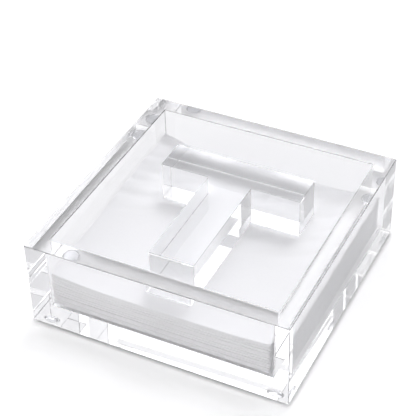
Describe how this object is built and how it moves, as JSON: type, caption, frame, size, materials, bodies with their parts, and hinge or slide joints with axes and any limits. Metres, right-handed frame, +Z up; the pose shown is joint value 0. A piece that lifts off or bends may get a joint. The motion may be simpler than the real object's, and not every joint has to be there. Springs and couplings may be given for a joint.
{
  "type": "napkin holder with weight",
  "caption": "Open square box of thick clear acrylic on small clear feet, holding a pile of folded paper napkins under a loose T-shaped clear bar weight.",
  "frame": {"origin": "on the table plane under the feet, at the middle of the box's square footprint", "axes": "+Z up out of the open top, +X to the right along the front wall, +Y to the back, towards the weight's crossbar"},
  "size_m": [0.15, 0.15, 0.0545],
  "materials": {
    "box_acrylic": "polished",
    "weight_acrylic": "polished",
    "foot_bumper": "satin",
    "napkin_paper": "matte"
  },
  "bodies": {
    "box": {"base_plate": "box_acrylic", "front_wall": "box_acrylic", "back_wall": "box_acrylic", "left_wall": "box_acrylic", "right_wall": "box_acrylic", "foot_front_left": "foot_bumper", "foot_front_right": "foot_bumper", "foot_back_left": "foot_bumper", "foot_back_right": "foot_bumper"},
    "napkin_stack": {"napkin_01": "napkin_paper", "napkin_02": "napkin_paper", "napkin_03": "napkin_paper", "napkin_04": "napkin_paper", "napkin_05": "napkin_paper", "napkin_06": "napkin_paper", "napkin_07": "napkin_paper", "napkin_08": "napkin_paper", "napkin_09": "napkin_paper", "napkin_10": "napkin_paper", "napkin_11": "napkin_paper"},
    "top_napkin": {"napkin_12": "napkin_paper"},
    "weight": {"weight_crossbar": "weight_acrylic", "weight_stem": "weight_acrylic"}
  },
  "joints": [
    {"name": "stack_lift", "type": "slide", "parent": "box", "child": "napkin_stack", "axis": [0, 0, 1], "range_m": [0, 0.05]},
    {"name": "top_napkin_lift", "type": "slide", "parent": "napkin_stack", "child": "top_napkin", "axis": [0, 0, 1], "range_m": [0, 0.03]},
    {"name": "weight_lift", "type": "slide", "parent": "top_napkin", "child": "weight", "axis": [0, 0, 1], "range_m": [0, 0.06]}
  ]
}
